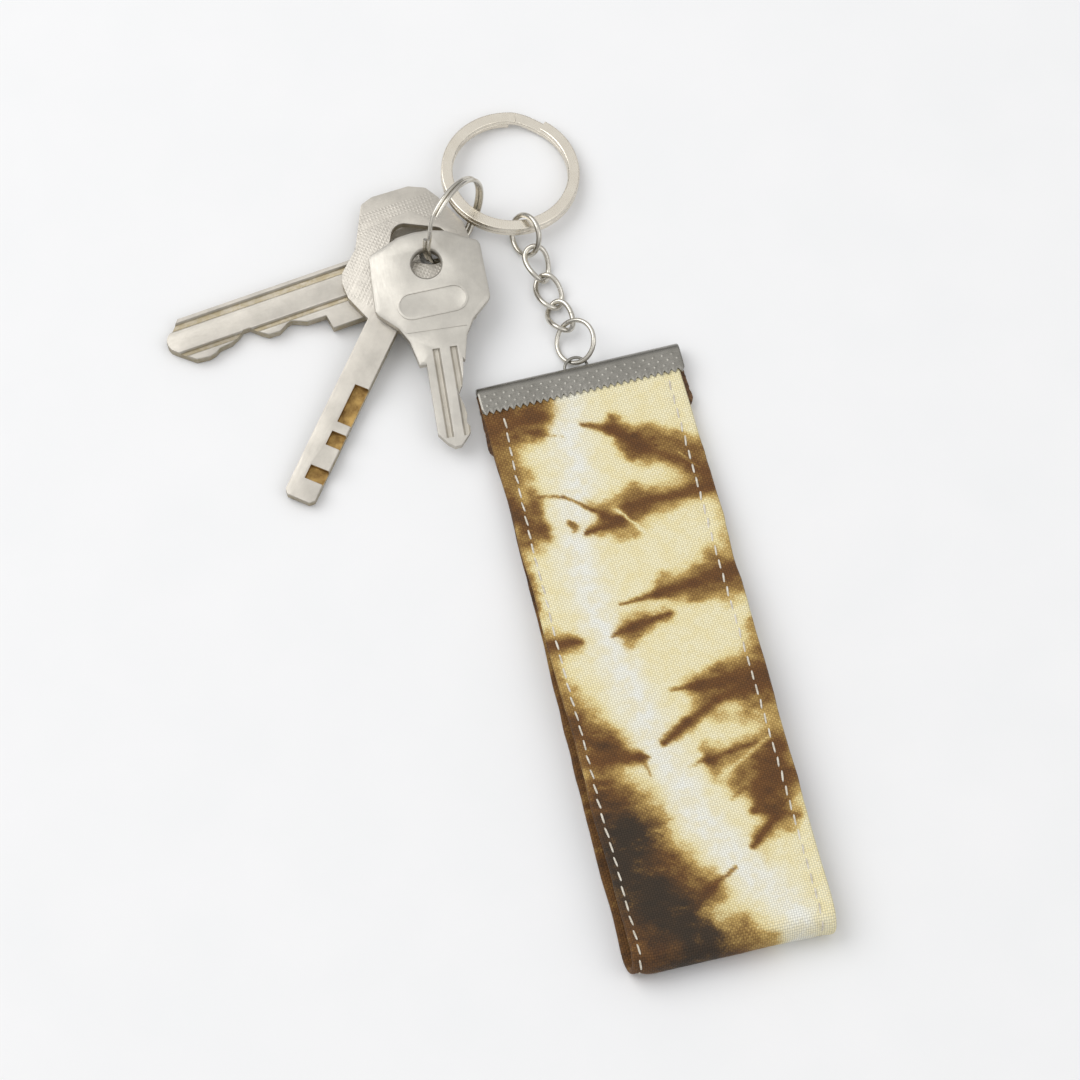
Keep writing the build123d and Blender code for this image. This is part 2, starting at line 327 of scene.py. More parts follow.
# ------------------------------------------------------------------ fabric
WEAVE_PITCH = 0.42
BUTTER = (0.86, 0.72, 0.33)
BLEACHED = (0.90, 0.91, 0.87)
SOOT = (0.045, 0.036, 0.027)
RUST = (0.17, 0.068, 0.024)
CANVAS_RAMP = [
    (0.0, (0.91, 0.84, 0.57)),
    (0.14, (0.84, 0.71, 0.36)),
    (0.32, (0.58, 0.39, 0.13)),
    (0.5, (0.33, 0.195, 0.06)),
    (0.7, (0.18, 0.085, 0.028)),
    (1.0, (0.08, 0.043, 0.022)),
]
FELT_RAMP = [(0.3, (0.7, 0.69, 0.65)), (0.7, (0.85, 0.84, 0.80))]
RAW_BROWN_RAMP = [(0.3, (0.05, 0.028, 0.018)), (0.55, (0.14, 0.07, 0.03)), (0.75, (0.3, 0.16, 0.06))]
THREAD_RAMP = [(0.3, (0.52, 0.46, 0.36)), (0.7, (0.86, 0.82, 0.72))]


def weave(nodes, across, along):
    """Plain weave: the height, how near a point is to a thread's crown, and which thread is over."""
    turn = math.pi / WEAVE_PITCH
    warp = nodes.math("SINE", nodes.math("MULTIPLY", across, turn))
    weft = nodes.math("SINE", nodes.math("MULTIPLY", along, turn))
    over = nodes.math("MULTIPLY", warp, weft)
    crown = nodes.math("MULTIPLY", nodes.math("ABSOLUTE", warp), nodes.math("ABSOLUTE", weft))
    height = nodes.math("ADD", nodes.math("MULTIPLY", crown, 0.7), nodes.math("MULTIPLY", over, 0.5))
    return height, crown, over


def dyed_canvas(name, painted_shade=1.0):
    """Cream cotton with brown tie-dye, from the dye, bleach, soot and creases painted on the mesh. The
    hollows between threads get painted shade, and the second argument darkens a whole copy with painted
    shade.
    """
    nodes = Nodes(name)
    cloth = nodes.attribute("cloth", "Vector")
    across, along, _ = nodes.split(cloth)
    height, crown, over = weave(nodes, across, along)
    grain = nodes.noise(cloth, 1.7, 3.0, 0.6)
    fine = nodes.noise(cloth, 6.0, 2.0, 0.6)
    broad = nodes.noise(cloth, 0.35, 3.0, 0.6)

    dye = nodes.attribute("dye")
    dye = nodes.math("ADD", dye, nodes.range(grain, 0.25, 0.75, -0.07, 0.07, smooth=False))
    dye = nodes.math("ADD", dye, nodes.range(fine, 0.25, 0.75, -0.05, 0.05, smooth=False))
    dye = nodes.math("ADD", dye, nodes.math("MULTIPLY", over, 0.035), clamp=True)
    tint = nodes.ramp(dye, CANVAS_RAMP)

    patchy = nodes.range(broad, 0.3, 0.65, 0.15, 0.6)
    tint = nodes.mix(nodes.math("MULTIPLY", nodes.attribute("crease"), patchy), tint, RUST)
    tint = nodes.mix(nodes.math("MULTIPLY", nodes.attribute("bleach"), 0.85), tint, BLEACHED)
    yellow = nodes.range(broad, 0.35, 0.7, 0.0, 0.4)
    pale = nodes.range(dye, 0.0, 0.35, 1.0, 0.0)
    tint = nodes.mix(nodes.math("MULTIPLY", yellow, pale), tint, BUTTER)
    uneven = nodes.range(grain, 0.3, 0.7, -0.1, 0.1)
    soot = nodes.math("ADD", nodes.attribute("soot"), uneven, clamp=True)
    dark = nodes.range(dye, 0.3, 0.8, 0.25, 0.9)
    tint = nodes.mix(nodes.math("MULTIPLY", soot, dark), tint, SOOT)

    # Painted shade: the colour is darker in the hollows between threads than on their crowns.
    colour = nodes.add("ShaderNodeVectorMath", {0: tint}, operation="SCALE")
    nodes.feed(colour.inputs["Scale"], nodes.range(crown, 0.0, 0.55, 0.66 * painted_shade, 1.03 * painted_shade))
    nodes.set(Base_Color=colour.outputs[0], Roughness=0.9)
    nodes.set(Sheen_Weight=0.08, Sheen_Roughness=0.5, Specular_IOR_Level=0.2)
    nodes.relief(height, 0.11, 0.8)
    return nodes.material


def plain_cloth(name, stops, grain, sheen, relief):
    """Woven or felted cloth in one mottled colour."""
    nodes = Nodes(name)
    cloth = nodes.attribute("cloth", "Vector")
    across, along, _ = nodes.split(cloth)
    height, _, _ = weave(nodes, across, along)
    mottle = nodes.noise(cloth, *grain)
    nodes.set(Base_Color=nodes.ramp(mottle, stops), Roughness=0.9, Sheen_Weight=sheen)
    nodes.relief(height, *relief)
    return nodes.material


def thread_material():
    """Off-white thread with a diagonal twist."""
    nodes = Nodes("topstitch_thread")
    place = nodes.place()
    twist = nodes.add("ShaderNodeTexWave", {"Vector": place, "Scale": 1.5, "Distortion": 1.0})
    twist.bands_direction = "DIAGONAL"
    mottle = nodes.noise(place, 1.3, 3.0, 0.6)
    nodes.set(Base_Color=nodes.ramp(mottle, THREAD_RAMP), Roughness=0.6, Sheen_Weight=0.2)
    nodes.relief(twist.outputs["Fac"], 0.05, 0.8)
    return nodes.material


# ------------------------------------------------------------------ strap shape
def strap_line(step=0.5):
    """Stations of the middle of the ply from the clamp along the top, round the fold, and back.

    Each has the distance s from the spine, y, z, and the outward normal in (y, z)."""
    y_top = np.arange(-STRAP_START, -STRAP_TOP_LENGTH, -step)
    rise = smoothstep((-y_top - 7) / 66)
    z_top = MOUTH_HIGH + (LOOP_HIGH - MOUTH_HIGH) * rise
    middle, half = (LOOP_HIGH + LOOP_LOW) / 2, (LOOP_HIGH - LOOP_LOW) / 2
    angle = np.linspace(math.pi / 2, -math.pi / 2, 25)
    y_fold = -STRAP_TOP_LENGTH - FOLD_REACH * np.cos(angle)
    z_fold = middle + half * np.sin(angle)
    y_low = y_top[::-1]
    z_low = LOOP_LOW + (MOUTH_LOW - LOOP_LOW) * smoothstep((y_low + 12) / 5)
    y = np.concatenate([y_top, y_fold, y_low])
    z = np.concatenate([z_top, z_fold, z_low])
    s = STRAP_START + np.concatenate([[0], np.cumsum(np.hypot(np.diff(y), np.diff(z)))])
    dy, dz = np.gradient(y, s), np.gradient(z, s)
    return s, y, z, dz, -dy


STATION_S, STATION_Y, STATION_Z, NORMAL_Y, NORMAL_Z = strap_line()
FOLD_S = float(STATION_S[-1] + STATION_S[0]) / 2


def ply_shift(s):
    """How far the strap's middle stands off the clamp's, as the two plies don't lie quite square."""
    top = -0.35 - 0.45 * smoothstep(s / FOLD_S)
    skew = -1.0 * smoothstep((s - FOLD_S + 6) / 12) * (1 - smoothstep((s - FOLD_S - 8) / 90))
    back = smoothstep((s - FOLD_S - 20) / 80) * 0.6
    return top + skew + back


def seam_place(side, s):
    """Where a row of stitches runs across the strap: the left row starts further in."""
    top = np.minimum(s, 2 * FOLD_S - s)
    if side > 0:
        return 16.0 - 0.5 * bump(top - 50, 30)
    return -17.2 + 2.9 * np.exp(-top / 26.0)


def surface_wave(x, s):
    """Gentle hills and hollows of the loop's free fabric, none inside the clamp."""
    top = np.minimum(s, 2 * FOLD_S - s)
    free = smoothstep((top - 9) / 25) * smoothstep((2 * FOLD_S - s) / 20)
    hills = (fractal(x / 22 + 7, s / 26, 11, 3) - 0.5) * 0.9
    ripple = (fractal(x / 7, s / 9, 23, 3) - 0.5) * 0.22
    lower = s > FOLD_S + 4
    return free * (hills + ripple) * np.where(lower, 0.12, 1.0)


def seam_dimple(x, s):
    """The cloth is pulled in along each row of stitches, most at the ends of a stitch."""
    total = 0.0
    for side in (-1, 1):
        across = x - seam_place(side, s)
        pull = 0.6 + 0.4 * np.cos(2 * math.pi * s / STITCH_PITCH)
        total = total - 0.2 * bump(across, 0.75) * pull
        total = total + 0.05 * bump(np.abs(across) - 1.6, 0.8)
    return total


def edge_wobble(x, s):
    """The turned edges aren't ruler straight."""
    wander = (fractal(s / 9, np.sign(x) * 3.7, 31, 3) - 0.5) * 0.7
    return wander * smoothstep((np.abs(x) - 15) / 3)


def on_strap(x, s, n, detail=1.0):
    """Layout-frame points for places across the strap (x), along it (s) and through the ply (n).

    The fold's left corner is drawn in and its right one stands out a little. With detail at 0 the
    seams don't dimple the ply and its edges run straight."""
    columns = (STATION_Y, STATION_Z, NORMAL_Y, NORMAL_Z)
    y, z, ny, nz = (np.interp(s, STATION_S, column) for column in columns)
    outer = smoothstep((n - 0.1) / 0.4)
    lift = surface_wave(x, s) + seam_dimple(x, s) * outer * detail
    corner = smoothstep((np.abs(x) - 14) / 4.6) * bump(s - FOLD_S, 5.0)
    drawn_in = np.where(x < 0, 0.9, -0.25) * corner
    px = x + ply_shift(s) + edge_wobble(x, s) * detail
    return np.stack([px, y + ny * (n + lift) + drawn_in, z + nz * (n + lift)], -1)


# ------------------------------------------------------------------ dye
# Dye marks on the strap: where each starts and ends (across, along from the spine), its width at
# both ends, and how dark it is. Along runs past the fold onto the back. Washes are soft and wide,
# lines are the darker creases inside them, and pale lines are creases the dye didn't reach.
WASHES = [
    ((-19, 5), (-9.5, 6.5), 5.0, 4.0, 0.62), ((-18, 12), (-11, 11), 4.5, 3.0, 0.52),
    ((-18, 18), (-15, 20), 3.6, 2.4, 0.50), ((-19, 24), (-15.5, 32), 3.2, 2.8, 0.70),
    ((-19, 34), (-18.6, 48), 2.0, 1.0, 0.50), ((-19, 27), (-14.5, 27), 3.0, 2.0, 0.45),
    ((4, 12), (8, 19), 1.2, 3.0, 0.50), ((8, 18), (18, 25), 2.6, 3.4, 0.50),
    ((10, 16), (18, 21), 1.4, 2.4, 0.34), ((5, 18), (9, 22), 1.6, 1.6, 0.24),
    ((19, 29), (3, 30.5), 3.4, 2.6, 0.50), ((4, 27.5), (-1, 29), 1.8, 1.2, 0.30),
    ((-5, 33.5), (2, 33), 2.0, 2.6, 0.46), ((0, 35.5), (2, 36), 1.8, 1.0, 0.22),
    ((-8.6, 31.8), (-8.3, 33), 1.0, 0.9, 0.55), ((-4, 28.5), (-2, 30), 1.4, 1.2, 0.30),
    ((19, 46), (6, 49.5), 4.2, 2.6, 0.52), ((15, 43), (13, 47), 1.6, 2.4, 0.30),
    ((18, 51), (9, 52), 3.2, 1.6, 0.42), ((5, 46), (4, 49), 1.2, 1.8, 0.30),
    ((-4.5, 55.5), (3, 54), 2.2, 1.5, 0.46), ((-4, 58), (-2, 56), 1.4, 1.8, 0.22),
    ((-3.5, 52), (0, 52), 1.2, 1.2, 0.20), ((-19, 54.5), (-14.5, 55), 3.8, 2.4, 0.52),
    ((-19, 60), (-17, 70), 2.4, 3.6, 0.48), ((-19, 72), (-13, 77), 4.0, 3.8, 0.62),
    ((-14, 75), (-8.5, 79.5), 3.4, 1.6, 0.50), ((-15, 84), (-14, 92), 4.6, 5.0, 0.55),
    ((-10.5, 86), (-8, 92), 2.4, 2.8, 0.28), ((-18, 86), (-17, 118), 4.6, 5.5, 0.70),
    ((-13, 94), (-9, 104), 5.0, 5.6, 0.60), ((-9, 100), (-3.5, 106), 3.6, 3.0, 0.42),
    ((-8, 108), (-1, 108), 3.6, 2.6, 0.46), ((-12, 108), (-10, 120), 5.4, 6.5, 0.72),
    ((-6, 114), (0, 122), 4.0, 5.5, 0.62), ((2, 115), (6, 120), 2.6, 3.4, 0.34),
    ((19, 67), (5, 68.5), 3.4, 1.8, 0.50), ((18, 71), (8, 71), 3.4, 2.6, 0.55),
    ((18, 76), (14, 74), 3.4, 2.4, 0.40), ((6, 73.5), (-2, 77.6), 2.2, 1.3, 0.46),
    ((8, 76), (13, 77), 1.6, 2.0, 0.24), ((5, 83.5), (13, 81.8), 2.2, 1.4, 0.40),
    ((4.4, 80.5), (4.6, 86), 1.2, 1.6, 0.30), ((8, 88), (13, 84), 2.0, 2.6, 0.42),
    ((17, 82), (12, 92), 3.2, 3.2, 0.60), ((18, 90), (13, 95), 3.6, 2.4, 0.58),
    ((7, 90.5), (9, 88), 1.2, 1.8, 0.30), ((8.5, 100.5), (13, 97), 1.5, 2.4, 0.46),
    ((17, 97), (15, 99), 1.6, 1.2, 0.30), ((9, 104), (11, 100), 0.8, 1.2, 0.14),
    ((19, 34), (19, 42), 1.6, 1.6, 0.22), ((19, 58), (18.6, 64), 1.6, 2.0, 0.40),
    ((-19, 126), (-15, 200), 6.0, 5.0, 0.75), ((-19, 200), (-15, 232), 7.0, 6.0, 0.8),
    ((19, 132), (4, 138), 5.0, 2.0, 0.55), ((19, 150), (2, 153), 5.5, 2.2, 0.6),
    ((19, 168), (6, 174), 4.5, 2.0, 0.5), ((19, 187), (-2, 190), 5.0, 2.0, 0.55),
    ((19, 207), (4, 214), 6.0, 2.4, 0.6), ((14, 226), (-8, 230), 5.0, 4.0, 0.6),
    ((-12, 144), (-2, 147), 4.0, 1.8, 0.5), ((-12, 178), (0, 182), 4.4, 1.8, 0.5),
]
LINES = [
    ((-18, 8), (-8, 9), 2.2, 1.4, 0.40), ((-11, 11.5), (-5.6, 13.6), 0.4, 0.2, 0.30),
    ((-1.6, 12), (3, 14.2), 0.5, 0.9, 0.60), ((3, 14.2), (8, 19.4), 1.1, 1.0, 0.60),
    ((3.6, 11.5), (4.0, 14), 0.4, 0.9, 0.30), ((8, 19.4), (18, 27), 0.8, 1.5, 0.42),
    ((12, 18), (17, 22), 0.6, 1.2, 0.20), ((18, 30.2), (1.5, 30.4), 1.3, 0.8, 0.48),
    ((5, 31.5), (1.5, 32), 1.2, 0.8, 0.30), ((1.6, 33), (-2.6, 31.6), 0.9, 1.0, 0.60),
    ((-6.5, 33.9), (0, 33.0), 0.35, 1.0, 0.55), ((-12.8, 24.6), (-8.5, 25.6), 0.45, 0.35, 0.45),
    ((-8.5, 25.6), (-4, 29.6), 0.35, 0.45, 0.45), ((-4, 29.6), (-2, 31), 0.4, 0.8, 0.50),
    ((-14, 23.5), (-13.2, 33), 1.2, 0.9, 0.40), ((-3.9, 49.7), (3, 49.3), 0.35, 0.9, 0.60),
    ((3, 49.3), (10, 48.7), 0.9, 0.8, 0.52), ((10, 48.7), (19, 47.6), 0.9, 1.6, 0.45),
    ((-7, 55.5), (-3, 54.8), 0.3, 0.9, 0.55), ((-3, 54.8), (4.4, 53.6), 1.0, 0.4, 0.55),
    ((-19, 54.4), (-12.6, 55.3), 1.2, 0.6, 0.55), ((0.6, 68.5), (6, 69), 0.35, 0.8, 0.50),
    ((6, 69), (18, 69.2), 1.0, 1.5, 0.52), ((18, 70.5), (8.5, 72.3), 1.6, 1.0, 0.50),
    ((8.5, 72.3), (2, 75.4), 0.7, 0.8, 0.50), ((2, 75.4), (-3.2, 78.2), 0.8, 0.5, 0.58),
    ((0, 83.6), (4, 83.3), 0.25, 0.5, 0.40), ((4, 83.3), (8, 82.6), 0.7, 0.5, 0.48),
    ((8, 82.6), (13, 82), 0.5, 0.3, 0.42), ((17, 84), (10.6, 91), 1.8, 1.6, 0.45),
    ((16, 89), (9.4, 94.6), 1.8, 0.8, 0.40), ((9, 94.8), (12, 95.6), 0.5, 0.5, 0.40),
    ((12, 95.6), (17, 97.6), 0.6, 0.5, 0.34), ((7.2, 101.4), (12.6, 97), 0.5, 0.8, 0.56),
    ((5.8, 91.8), (9, 90), 0.2, 0.5, 0.30), ((3.4, 104.6), (-2, 107.4), 0.4, 0.6, 0.55),
    ((-2, 107.4), (-16, 118.4), 0.6, 0.9, 0.42), ((-19, 78), (-8, 79.8), 1.9, 1.1, 0.46),
    ((-8, 79.8), (-6.4, 80.2), 0.9, 0.4, 0.50), ((-7.3, 80), (-7, 84), 0.6, 0.25, 0.34),
    ((-16, 95.8), (-3, 92), 0.3, 0.2, 0.12),
]
PALE_LINES = [
    ((0.3, 30.8), (4.0, 36.2), 0.35, 0.5, 0.9), ((-5.4, 31.2), (-7.4, 34.4), 0.4, 0.35, 0.85),
    ((15.8, 81.5), (5, 87), 0.4, 0.3, 0.6), ((14, 22), (16.5, 25.6), 0.2, 0.2, 0.4),
    ((-4, 51), (1, 51.8), 0.5, 0.4, 0.5), ((-16, 96.5), (-5, 93.2), 0.2, 0.2, 0.25),
]
# The pale run down the front, and the sooty patch low on the left
BLEACH_RUN = [
    (-4, 6), (-5, 20), (-8.6, 36), (-8.6, 52), (-6.5, 66), (-4, 78), (-1.6, 90), (3.5, 102), (9, 111),
    (13, 119), (8, 135),
]
SOOT_RUN = [(-14, 94), (-16, 102), (-10, 110), (-5, 117), (-9, 122)]


def to_segment(px, py, start, end):
    """Distance of points from a segment, and how far along it they lie, from 0 to 1."""
    ax, ay = start
    dx, dy = end[0] - ax, end[1] - ay
    t = np.clip(((px - ax) * dx + (py - ay) * dy) / (dx * dx + dy * dy), 0, 1)
    return np.hypot(px - ax - t * dx, py - ay - t * dy), t


def along_run(px, py, run, width):
    distance = np.full(px.shape, 1e9)
    for start, end in zip(run, run[1:]):
        distance = np.minimum(distance, to_segment(px, py, start, end)[0])
    return bump(distance, width)


def soak(dye, marks, px, ps, sharp):
    """Adds the marks to the dye, each fading out from its middle line."""
    for start, end, wide_start, wide_end, dark in marks:
        distance, t = to_segment(px, ps, start, end)
        width = wide_start + (wide_end - wide_start) * smoothstep(t)
        dye = 1 - (1 - dye) * (1 - dark * np.exp(-((distance / width) ** sharp)))
    return dye


def paint_dye(x, s):
    """Dye, bleach, soot and creases at each point of the strap, from 0 to 1."""
    fine_x = (fractal(x / 1.3, s / 0.9, 5, 3) - 0.5) * 1.6
    fine_s = (fractal(x / 1.3, s / 0.9, 15, 3) - 0.5) * 1.6
    wander_x = (fractal(x / 5, s / 4, 3) - 0.5) * 2.6
    wander_s = (fractal(x / 5, s / 4, 9) - 0.5) * 2.6
    wash = soak(np.zeros_like(x), WASHES, x + wander_x + fine_x, s + wander_s + fine_s, 2.4)
    feather = 0.62 + 0.76 * fractal(x / 2.2 + s / 9, s / 1.1 - x / 6, 61, 4)
    wash = wash * feather
    lines = soak(np.zeros_like(x), LINES, x + fine_x * 0.35, s + fine_s * 0.35, 2.0)
    dye = 1 - (1 - wash) * (1 - lines)
    pale = soak(np.zeros_like(x), PALE_LINES, x + fine_x * 0.3, s + fine_s * 0.3, 2.0)
    dye = np.clip(dye * (1 - pale), 0, 1)
    bleach = along_run(x + wander_x, s, BLEACH_RUN, 3.6) * (1 - smoothstep(dye / 0.35))
    soot = 1.25 * along_run(x + wander_x, s + wander_s, SOOT_RUN, 5.5)
    crease = np.clip(lines * 1.3, 0, 1) * (1 - pale)
    return {"dye": dye, "bleach": bleach, "soot": soot, "crease": crease}


# ------------------------------------------------------------------ strap pieces
def turned_side(half_width, middle, turn, radius):
    """One side of a layer whose two edges turn round and under by TURN_UNDER."""
    angle = np.linspace(-math.pi / 2, math.pi / 2, 9)
    left = [(-half_width + turn - radius * math.cos(a), radius * math.sin(a)) for a in angle]
    right = [(-x, n) for x, n in left[::-1]]
    hem = half_width - TURN_UNDER
    return [(-hem, -radius), *left, *((x, radius) for x in middle), *right, (hem, -radius)]


def band_section(outer_n, inner_n, half_width, turned):
    """A layer's closed outline, out across the outer side and back inside, and how much is outer."""
    flat = half_width - EDGE_BEAD
    middle = np.linspace(-flat, flat, math.ceil(2 * flat / CLOTH_STEP))
    if turned:
        outer, inner = (turned_side(half_width, middle, outer_n, n) for n in (outer_n, inner_n))
    else:
        outer, inner = ([(x, n) for x in (-half_width, *middle, half_width)] for n in (outer_n, inner_n))
    return outer + inner[::-1], len(outer)


def band(name, outline, material, detail=1.0, s_step=1):
    """A layer of the strap swept along its line, with its dye painted on."""
    section, half = band_section(*outline)
    x, n = np.array(section).T
    x, n, s = np.broadcast_arrays(x, n, STATION_S[::s_step, None])
    rings, count = x.shape
    faces = tube_faces(rings, count) + cap_faces(count, half, 0)
    faces += [f[::-1] for f in cap_faces(count, half, (rings - 1) * count)]
    points = to_world(on_strap(x, s, n, detail).reshape(-1, 3))
    piece = make_object(name, points, faces, material, "strap", 60)
    turned_in = np.where(n < 0, np.sign(x) * 3.0, 0.0)
    cloth = np.stack([x + turned_in, s, np.zeros_like(x)], -1)
    store(piece.data, "cloth", cloth, "FLOAT_VECTOR")
    for key, values in paint_dye(x.reshape(-1), s.reshape(-1)).items():
        store(piece.data, key, values)
    return piece


def strap():
    canvas = dyed_canvas("dyed_canvas")
    # The inside canvas is the outer canvas with painted shade: the same cloth, darkened to 0.9.
    shaded_lining_cloth = dyed_canvas("dyed_canvas_inside_painted_shade", 0.9)
    felt = plain_cloth("interfacing_felt", FELT_RAMP, (1.2, 4.0, 0.6), 0.15, (0.08, 0.6))
    half = STRAP_WIDTH / 2
    top, inside, low = PLY / 2, PLY / 2 - COVER, -PLY / 2 + LINING
    cover = band("strap_outer_canvas", (top, inside, half, True), canvas)
    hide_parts("strap_cover")
    felt_piece = band("strap_stiffener", (inside - LAYER_GAP, low, half - 0.9, False), felt, 0.0, 4)
    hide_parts("strap_interfacing")
    outline = (low - LAYER_GAP, -top - 2 * LAYER_GAP, half - 1.3, False)
    lining = band("strap_inner_canvas", outline, shaded_lining_cloth, 0.0, 2)
    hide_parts("strap_lining")


def end_tab():
    """Raw end of the fabric, a little wider than the strap, caught in the clamp behind the top ply."""
    columns, rows = 96, 40
    u, v = np.meshgrid(np.linspace(-1, 1, columns), np.linspace(0, 1, rows))
    fray = (fractal(v * 16, np.sign(u) * 2.3, 41, 3) - 0.5) * 0.45
    corner = np.sqrt(np.clip(1 - np.clip((v - 0.8) / 0.2, 0, 1) ** 2, 0, 1))
    half = TAB_HALF_WIDTH + fray + 0.5 * v - 2.6 * (1 - corner)
    reach = 13.2 - 1.6 * smoothstep((u + 0.2) / 1.2)
    x = u * half - 0.25
    y = -1.4 - v * reach
    z = TAB_HEIGHT + 0.12 * np.sin(u * 7 + v * 3) * v
    sides = [np.stack([x, y, z + lift], -1) for lift in (TAB_HALF_THICK, -TAB_HALF_THICK)]
    points = np.array(sides).reshape(-1, 3)
    raw = plain_cloth("raw_brown_canvas", RAW_BROWN_RAMP, (1.1, 4.0, 0.65), 0.2, (0.1, 0.9))
    faces = grid_shell_faces(rows, columns)
    piece = make_object("raw_end_tab", to_world(points), faces, raw, "strap", 50)
    store(piece.data, "cloth", points * (1, 1, 0), "FLOAT_VECTOR")
    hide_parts("end_tab")


def stitching(name, side, node, material):
    """One row of topstitches round the whole strap: each a short pillow of twisted thread."""
    places, faces = [], []
    around, rings = 8, 9
    count = int((2 * FOLD_S - 2 * STITCH_START) / STITCH_PITCH)
    rng = np.random.default_rng(5 + (side > 0))
    for i in range(count):
        middle = STITCH_START + (i + 0.5) * STITCH_PITCH
        long = STITCH_LONG * rng.uniform(0.92, 1.08)
        slant = side * -0.1 + rng.uniform(-0.09, 0.09)
        faces += closed_tube_faces(rings, around, len(places))
        for t in np.linspace(-1, 1, rings):
            s = middle + t * long / 2
            x = float(seam_place(side, s)) + slant * t
            swell = math.sqrt(max(1 - abs(t) ** 3.2, 0.02))
            centre = PLY / 2 + 0.1 - 0.2 * abs(t) ** 4
            for angle in 2 * math.pi * np.arange(around) / around:
                wide = math.cos(angle) * STITCH_WIDE / 2 * swell
                high = math.sin(angle) * STITCH_HIGH / 2 * swell
                places.append((x + wide, s, centre + high))
    x, s, n = np.array(places).T
    piece = make_object(name, to_world(on_strap(x, s, n)), faces, material, "strap", 80)
    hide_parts(node)


# ------------------------------------------------------------------ clamp
def clamp_profile():
    """The folded sheet's outer line, from the upper free edge round the spine to the lower.

    Each row is y, z, and the outward normal in (y, z)."""
    radius = CLAMP_THICK / 2
    flat = np.linspace(-CLAMP_TALL, -radius, 44)
    upper = [(y, CLAMP_THICK, 0, 1) for y in flat[:-1]]
    spine = []
    for angle in np.linspace(math.pi / 2, -math.pi / 2, 21):
        c, s = math.cos(angle), math.sin(angle)
        spine.append((-radius + radius * c, radius + radius * s, c, s))
    lower = [(y, 0.0, 0, -1) for y in flat[::-1][1:]]
    return np.array(upper + spine + lower)


def clamp_dots(x, y):
    """Small embossed dots in staggered rows over the plate."""
    pitch_x, pitch_y = DOT_PITCH
    row = np.round((y + 0.55) / pitch_y)
    centre_y = row * pitch_y - 0.55
    offset = (row % 2) * pitch_x / 2 + row * 0.06
    centre_x = np.round((x - offset) / pitch_x) * pitch_x + offset
    distance = np.hypot(x - centre_x, y - centre_y)
    on_plate = (y > -CLAMP_TALL + TOOTH_DEEP + 0.45) & (y < -0.35)
    inside = on_plate & (np.abs(x) < CLAMP_WIDTH / 2 - 0.6)
    return np.where(inside, DOT_HIGH * bump(distance, DOT_WIDE), 0.0)


def clamp_body():
    """The toothed, dotted sheet folded over the strap's end."""
    profile = clamp_profile()
    x = np.linspace(-CLAMP_WIDTH / 2, CLAMP_WIDTH / 2, CLAMP_TEETH * 12 + 1)
    x, y, z, ny, nz = np.broadcast_arrays(x, *profile.T[:, :, None])
    pitch = CLAMP_WIDTH / CLAMP_TEETH
    tooth = TOOTH_DEEP * (np.abs(((x / pitch) % 1.0) - 0.5) * 2)
    near_edge = np.clip((-CLAMP_TALL + 1.6 - y) / 1.6, 0, 1)
    y = y + near_edge * tooth * (np.abs(nz) > 0.99)
    end_round = 0.12 * smoothstep((np.abs(x) - CLAMP_WIDTH / 2 + 0.25) / 0.25)
    curl = -0.22 * near_edge**2
    warp = (fractal(x / 9, y / 4 + nz, 51, 3) - 0.5) * 0.05
    warp = warp - 0.07 * bump(x, 5.0) * smoothstep(ny / 0.4)
    lift = clamp_dots(x, y) * (nz > 0.99) + curl - end_round + warp
    inset = -CLAMP_SHEET + end_round + curl
    sides = [np.stack([x, y + ny * out, z + nz * out], -1) for out in (lift, inset)]
    return np.array(sides).reshape(-1, 3), grid_shell_faces(*x.shape)


def clamp_eye(first):
    """Half-round wire eye, its feet flattened onto the spine."""
    stations, around = 33, 12
    vertices = []
    for t in np.linspace(0, 1, stations):
        angle = math.pi * (-0.12 + 1.24 * t)
        foot = float(smoothstep((abs(t - 0.5) - 0.36) / 0.14))
        x, y = EYE_RADIUS * math.cos(angle), EYE_RADIUS * math.sin(angle)
        x += math.copysign(0.5 * foot, x)
        for b in 2 * math.pi * np.arange(around) / around:
            flattened = 1 + 0.5 * foot if abs(math.cos(b)) > 0.3 else 1
            out = EYE_BAR * flattened * math.cos(b)
            up = EYE_BAR * math.sin(b)
            vertices.append((x + out * math.cos(angle), y + out * math.sin(angle), EYE_HEIGHT + up))
    return vertices, closed_tube_faces(stations, around, first)


def clamp():
    vertices, faces = clamp_body()
    eye_vertices, eye_faces = clamp_eye(len(vertices))
    points = to_world(np.vstack([vertices, eye_vertices]))
    piece = make_object("ribbon_clamp", points, faces + eye_faces, gunmetal(), "strap", 45)
    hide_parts("clamp")


def gunmetal():
    """Dark plated steel, satin, with faint stains and a lighter rub."""
    nodes = Nodes("gunmetal_plate")
    place = nodes.place()
    cloud = nodes.noise(place, 0.35, 4.0, 0.6)
    scratch = nodes.noise(nodes.stretched(place, (0.4, 5.0, 5.0)), 1.2, 3.0, 0.6)
    colour = nodes.ramp(cloud, [(0.3, (0.238, 0.228, 0.203)), (0.7, (0.315, 0.302, 0.272))])
    rough = nodes.range(scratch, 0.3, 0.7, 0.22, 0.36)
    nodes.set(Base_Color=colour, Metallic=0.95, Roughness=rough)
    nodes.relief(scratch, 0.01, 0.4)
    return nodes.material


# ------------------------------------------------------------------ metal of rings and keys
def polished(name, low, high, rough_low, rough_high, relief=0.004):
    """Bright plating with fine handling scratches."""
    nodes = Nodes(name)
    place = nodes.place()
    cloud = nodes.noise(place, 0.25, 3.0, 0.6)
    scratch = nodes.noise(nodes.stretched(place, (3.0, 0.6, 3.0)), 2.2, 3.0, 0.7)
    nodes.set(Base_Color=nodes.ramp(cloud, [(0.3, low), (0.7, high)]), Metallic=1.0)
    nodes.set(Roughness=nodes.range(scratch, 0.3, 0.75, rough_low, rough_high))
    nodes.relief(scratch, relief, 0.5)
    return nodes.material


